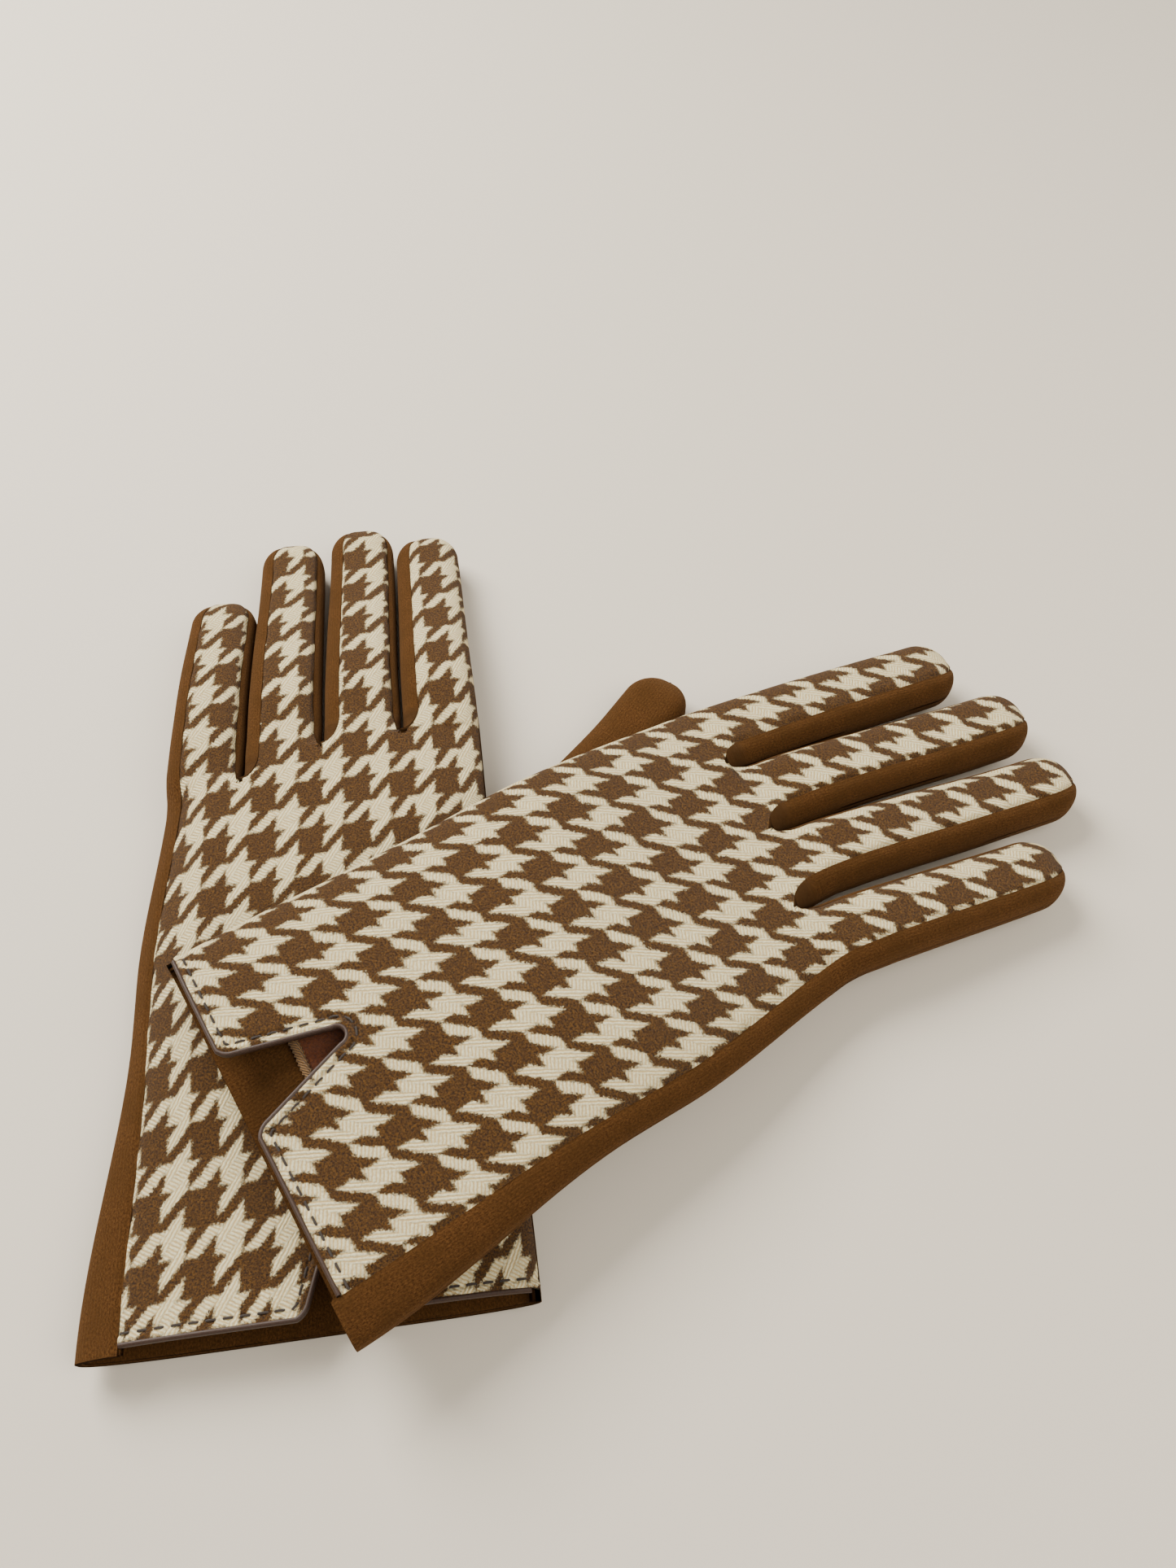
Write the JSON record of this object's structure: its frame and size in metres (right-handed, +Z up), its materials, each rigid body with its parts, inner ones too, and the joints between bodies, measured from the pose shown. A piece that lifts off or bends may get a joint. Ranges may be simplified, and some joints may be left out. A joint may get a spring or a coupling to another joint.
{
  "type": "pair of cloth gloves",
  "caption": "Crossed pair of cloth gloves with checked woollen backs, suede-cloth palms and notched, piped cuffs; fingers and thumbs bend, and the top glove lifts off.",
  "frame": {"origin": "on the table, under the middle of the left glove's cuff, where its palm lies flat", "axes": "+Y from the left glove's cuff to its fingertips, +X to its thumb's side, +Z up from the table"},
  "size_m": [0.2602, 0.2454, 0.032],
  "materials": {
    "check_wool": "brushed woven wool, brown and cream houndstooth",
    "suede_cloth": "matt brown suede cloth",
    "fleece": "short reddish brown fleece",
    "piping": "dark brown smooth binding",
    "thread": "brown sewing thread"
  },
  "bodies": {
    "left_hand": {"left_back_panel": "check_wool", "left_palm_panel": "suede_cloth", "left_finger_webs": "suede_cloth", "left_lining": "fleece", "left_cuff_binding": "piping", "left_cuff_threads": "thread", "left_palm_hem": "suede_cloth", "left_thumb_gusset": "suede_cloth"},
    "right_hand": {"right_back_panel": "check_wool", "right_palm_panel": "suede_cloth", "right_finger_webs": "suede_cloth", "right_lining": "fleece", "right_cuff_binding": "piping", "right_cuff_threads": "thread", "right_palm_hem": "suede_cloth", "right_thumb_gusset": "suede_cloth"},
    "left_index_base": {"left_index_back": "check_wool", "left_index_palm": "suede_cloth", "left_index_sides": "suede_cloth"},
    "left_index_tip": {"left_index_tip_back": "check_wool", "left_index_tip_palm": "suede_cloth"},
    "left_middle_base": {"left_middle_back": "check_wool", "left_middle_palm": "suede_cloth", "left_middle_sides": "suede_cloth"},
    "left_middle_tip": {"left_middle_tip_back": "check_wool", "left_middle_tip_palm": "suede_cloth"},
    "left_ring_base": {"left_ring_back": "check_wool", "left_ring_palm": "suede_cloth", "left_ring_sides": "suede_cloth"},
    "left_ring_tip": {"left_ring_tip_back": "check_wool", "left_ring_tip_palm": "suede_cloth"},
    "left_little_base": {"left_little_back": "check_wool", "left_little_palm": "suede_cloth", "left_little_sides": "suede_cloth"},
    "left_little_tip": {"left_little_tip_back": "check_wool", "left_little_tip_palm": "suede_cloth"},
    "left_thumb_base_part": {"left_thumb_base": "suede_cloth"},
    "left_thumb_tip_part": {"left_thumb_tip": "suede_cloth"},
    "right_index_base": {"right_index_back": "check_wool", "right_index_palm": "suede_cloth", "right_index_sides": "suede_cloth"},
    "right_index_tip": {"right_index_tip_back": "check_wool", "right_index_tip_palm": "suede_cloth"},
    "right_middle_base": {"right_middle_back": "check_wool", "right_middle_palm": "suede_cloth", "right_middle_sides": "suede_cloth"},
    "right_middle_tip": {"right_middle_tip_back": "check_wool", "right_middle_tip_palm": "suede_cloth"},
    "right_ring_base": {"right_ring_back": "check_wool", "right_ring_palm": "suede_cloth", "right_ring_sides": "suede_cloth"},
    "right_ring_tip": {"right_ring_tip_back": "check_wool", "right_ring_tip_palm": "suede_cloth"},
    "right_little_base": {"right_little_back": "check_wool", "right_little_palm": "suede_cloth", "right_little_sides": "suede_cloth"},
    "right_little_tip": {"right_little_tip_back": "check_wool", "right_little_tip_palm": "suede_cloth"},
    "right_thumb_base_part": {"right_thumb_base": "suede_cloth"},
    "right_thumb_tip_part": {"right_thumb_tip": "suede_cloth"}
  },
  "joints": [
    {"name": "right_glove_lift", "type": "slide", "parent": "left_hand", "child": "right_hand", "axis": [0, 0, 1], "range_m": [0, 0.08]},
    {"name": "left_index_root", "type": "hinge", "parent": "left_hand", "child": "left_index_base", "pos_m": [0.0328, 0.152, 0.0118], "axis": [-1, -0.0087, 0], "range_deg": [-15, 60]},
    {"name": "left_index_middle", "type": "hinge", "parent": "left_index_base", "child": "left_index_tip", "pos_m": [0.03249, 0.1871, 0.01067], "axis": [-1, -0.0087, 0], "range_deg": [0, 75]},
    {"name": "left_middle_root", "type": "hinge", "parent": "left_hand", "child": "left_middle_base", "pos_m": [0.0106, 0.153, 0.0118], "axis": [-0.9999, 0.014, 0], "range_deg": [-15, 60]},
    {"name": "left_middle_middle", "type": "hinge", "parent": "left_middle_base", "child": "left_middle_tip", "pos_m": [0.01112, 0.19035, 0.01026], "axis": [-0.9999, 0.014, 0], "range_deg": [0, 75]},
    {"name": "left_ring_root", "type": "hinge", "parent": "left_hand", "child": "left_ring_base", "pos_m": [-0.01135, 0.15, 0.0118], "axis": [-0.9998, 0.0175, 0], "range_deg": [-15, 60]},
    {"name": "left_ring_middle", "type": "hinge", "parent": "left_ring_base", "child": "left_ring_tip", "pos_m": [-0.01071, 0.18689, 0.0107], "axis": [-0.9998, 0.0175, 0], "range_deg": [0, 75]},
    {"name": "left_little_root", "type": "hinge", "parent": "left_hand", "child": "left_little_base", "pos_m": [-0.03305, 0.141, 0.01109], "axis": [-0.999, 0.0436, 0], "range_deg": [-15, 60]},
    {"name": "left_little_middle", "type": "hinge", "parent": "left_little_base", "child": "left_little_tip", "pos_m": [-0.03172, 0.17157, 0.01173], "axis": [-0.999, 0.0436, 0], "range_deg": [0, 75]},
    {"name": "left_thumb_swing", "type": "hinge", "parent": "left_hand", "child": "left_thumb_base_part", "pos_m": [0.04017, 0.1055, 0.0025], "axis": [0, 0, -1], "range_deg": [0, 8]},
    {"name": "left_thumb_bend", "type": "hinge", "parent": "left_thumb_base_part", "child": "left_thumb_tip_part", "pos_m": [0.00997, 0.11446, 0.0025], "axis": [-0.5878, -0.809, 0], "range_deg": [0, 60]},
    {"name": "right_index_root", "type": "hinge", "parent": "right_hand", "child": "right_index_base", "pos_m": [0.10844, 0.13553, 0.01319], "axis": [-0.2656, 0.9641, 0], "range_deg": [-15, 60]},
    {"name": "right_index_middle", "type": "hinge", "parent": "right_index_base", "child": "right_index_tip", "pos_m": [0.14228, 0.14485, 0.01145], "axis": [-0.2656, 0.9641, 0], "range_deg": [0, 75]},
    {"name": "right_middle_root", "type": "hinge", "parent": "right_hand", "child": "right_middle_base", "pos_m": [0.11886, 0.1159, 0.01181], "axis": [-0.2402, 0.9707, 0], "range_deg": [-15, 60]},
    {"name": "right_middle_middle", "type": "hinge", "parent": "right_middle_base", "child": "right_middle_tip", "pos_m": [0.15512, 0.12487, 0.0105], "axis": [-0.2402, 0.9707, 0], "range_deg": [0, 75]},
    {"name": "right_ring_root", "type": "hinge", "parent": "right_hand", "child": "right_ring_base", "pos_m": [0.12557, 0.09479, 0.0115], "axis": [-0.2233, 0.9748, 0], "range_deg": [-15, 60]},
    {"name": "right_ring_middle", "type": "hinge", "parent": "right_ring_base", "child": "right_ring_tip", "pos_m": [0.16154, 0.10303, 0.00996], "axis": [-0.2233, 0.9748, 0], "range_deg": [0, 75]},
    {"name": "right_little_root", "type": "hinge", "parent": "right_hand", "child": "right_little_base", "pos_m": [0.12675, 0.07132, 0.0115], "axis": [-0.2317, 0.9728, 0], "range_deg": [-15, 60]},
    {"name": "right_little_middle", "type": "hinge", "parent": "right_little_base", "child": "right_little_tip", "pos_m": [0.15651, 0.07842, 0.01039], "axis": [-0.2317, 0.9728, 0], "range_deg": [0, 75]},
    {"name": "right_thumb_swing", "type": "hinge", "parent": "right_hand", "child": "right_thumb_base_part", "pos_m": [0.05027, 0.11985, 0.01195], "axis": [0, 0, 1], "range_deg": [0, 30]},
    {"name": "right_thumb_bend", "type": "hinge", "parent": "right_thumb_base_part", "child": "right_thumb_tip_part", "pos_m": [0.07757, 0.13557, 0.00723], "axis": [-0.7593, 0.6508, 0], "range_deg": [0, 60]}
  ]
}
